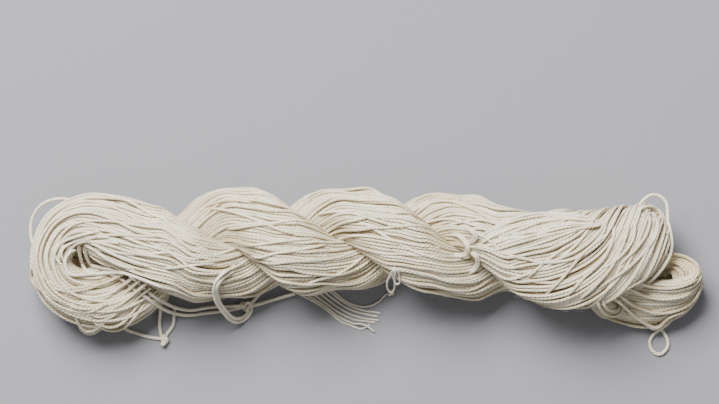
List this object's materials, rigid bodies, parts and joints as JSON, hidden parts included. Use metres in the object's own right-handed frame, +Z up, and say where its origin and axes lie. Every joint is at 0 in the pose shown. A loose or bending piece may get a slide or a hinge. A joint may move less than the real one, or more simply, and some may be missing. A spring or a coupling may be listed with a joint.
{
  "type": "hank of linen yarn",
  "caption": "Hank of plied linen yarn, twisted and folded into a two-ply rope with a tucked end loop, yarn ties and cut ends.",
  "frame": {"origin": "on the table, under the middle of the box of the whole hank", "axes": "+X along the hank from its fold to its end loops, +Y across it, +Z up from the table"},
  "size_m": [0.284, 0.0691, 0.038],
  "materials": {
    "hank_yarn": "half-bleached plied linen, matt with a faint sheen along the yarn",
    "tie_yarn": "the same linen, single strands and ties, matt"
  },
  "bodies": {
    "root": {"hank": "hank_yarn", "fold_tie": "tie_yarn", "eye_tie": "tie_yarn", "edge_tie": "tie_yarn", "fan_tie": "tie_yarn", "cut_end_1": "tie_yarn", "cut_end_2": "tie_yarn", "cut_end_3": "tie_yarn", "cut_end_4": "tie_yarn", "cut_end_5": "tie_yarn", "cut_end_6": "tie_yarn"}
  },
  "joints": []
}
